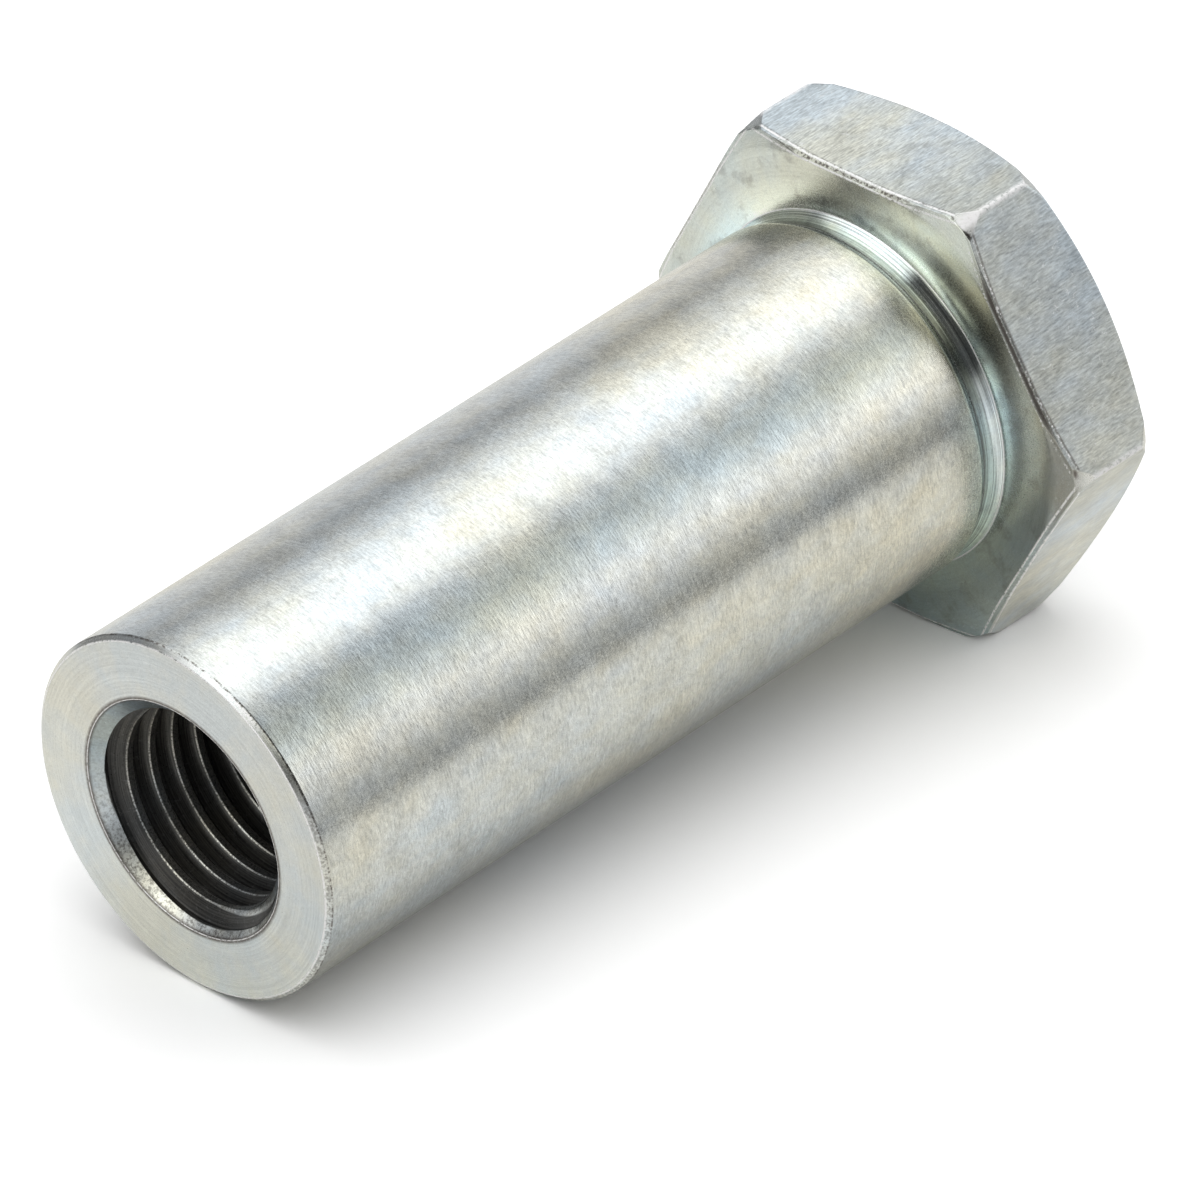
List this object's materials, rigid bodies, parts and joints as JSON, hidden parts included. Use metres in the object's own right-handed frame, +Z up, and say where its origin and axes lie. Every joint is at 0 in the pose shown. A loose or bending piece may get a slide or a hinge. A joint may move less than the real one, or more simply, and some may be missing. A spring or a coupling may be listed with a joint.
{
  "type": "threaded bushing",
  "caption": "Long plain round shank with a threaded bore right through it and a hexagonal head at one end, turned and milled from one piece of zinc-plated steel.",
  "frame": {"origin": "on the surface it rests on, under the middle of its bounding box", "axes": "+Z up, +X from the nose of the shank to the hexagonal head along the floor; the bushing lies on its nose's rim and one flat of the head, so its own axis rises 3.32 degrees from +X towards +Z"},
  "size_m": [0.0918, 0.0472, 0.0415],
  "materials": {
    "zinc_plated_steel": "bright zinc plating with a thin clear blue and yellow passivation, over fine turning marks"
  },
  "bodies": {
    "root": {"threaded_bushing": "zinc_plated_steel"}
  },
  "joints": []
}
